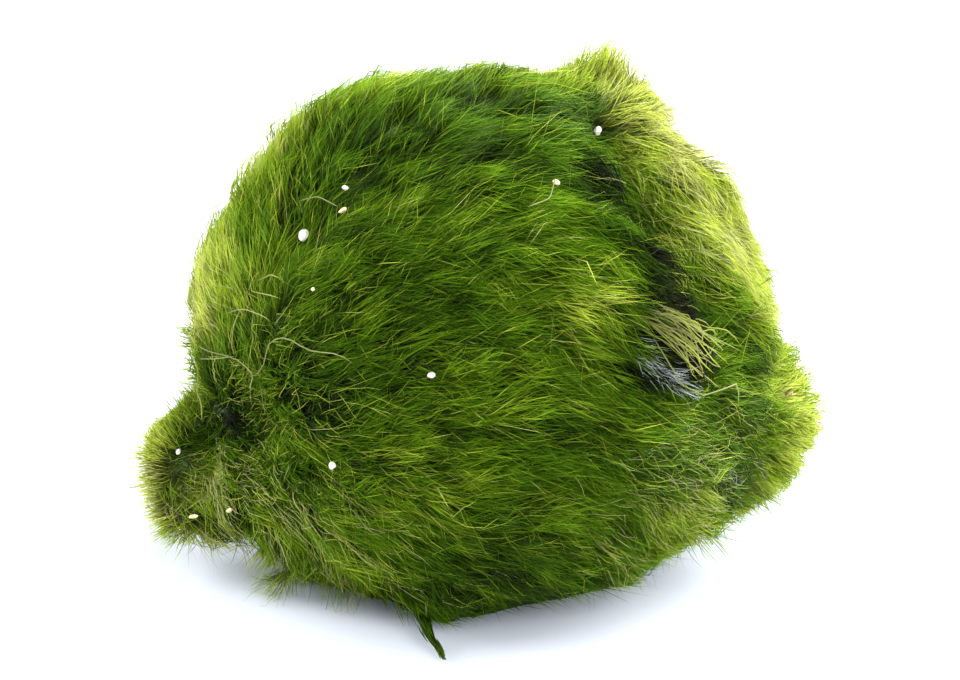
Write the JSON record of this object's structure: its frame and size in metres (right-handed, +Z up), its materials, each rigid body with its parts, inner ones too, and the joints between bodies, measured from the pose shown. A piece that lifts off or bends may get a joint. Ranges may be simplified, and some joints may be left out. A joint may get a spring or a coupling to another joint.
{
  "type": "marimo moss ball",
  "caption": "Furry ball of filamentous green algae that sags on a small flat spot, with a blunt lip at one side, a long crease at the other and a wisp at its foot.",
  "frame": {"origin": "middle of the bounding box in X and Y, at the flat spot that the ball rests on", "axes": "+Z up, the pictured front faces -Y, and +X runs from the blunt lip towards the lobe at the other side"},
  "size_m": [0.0518, 0.0436, 0.0383],
  "materials": {
    "moss_ball": "wet green filaments, matted into locks"
  },
  "bodies": {
    "root": {"moss_ball": "moss_ball"}
  },
  "joints": []
}
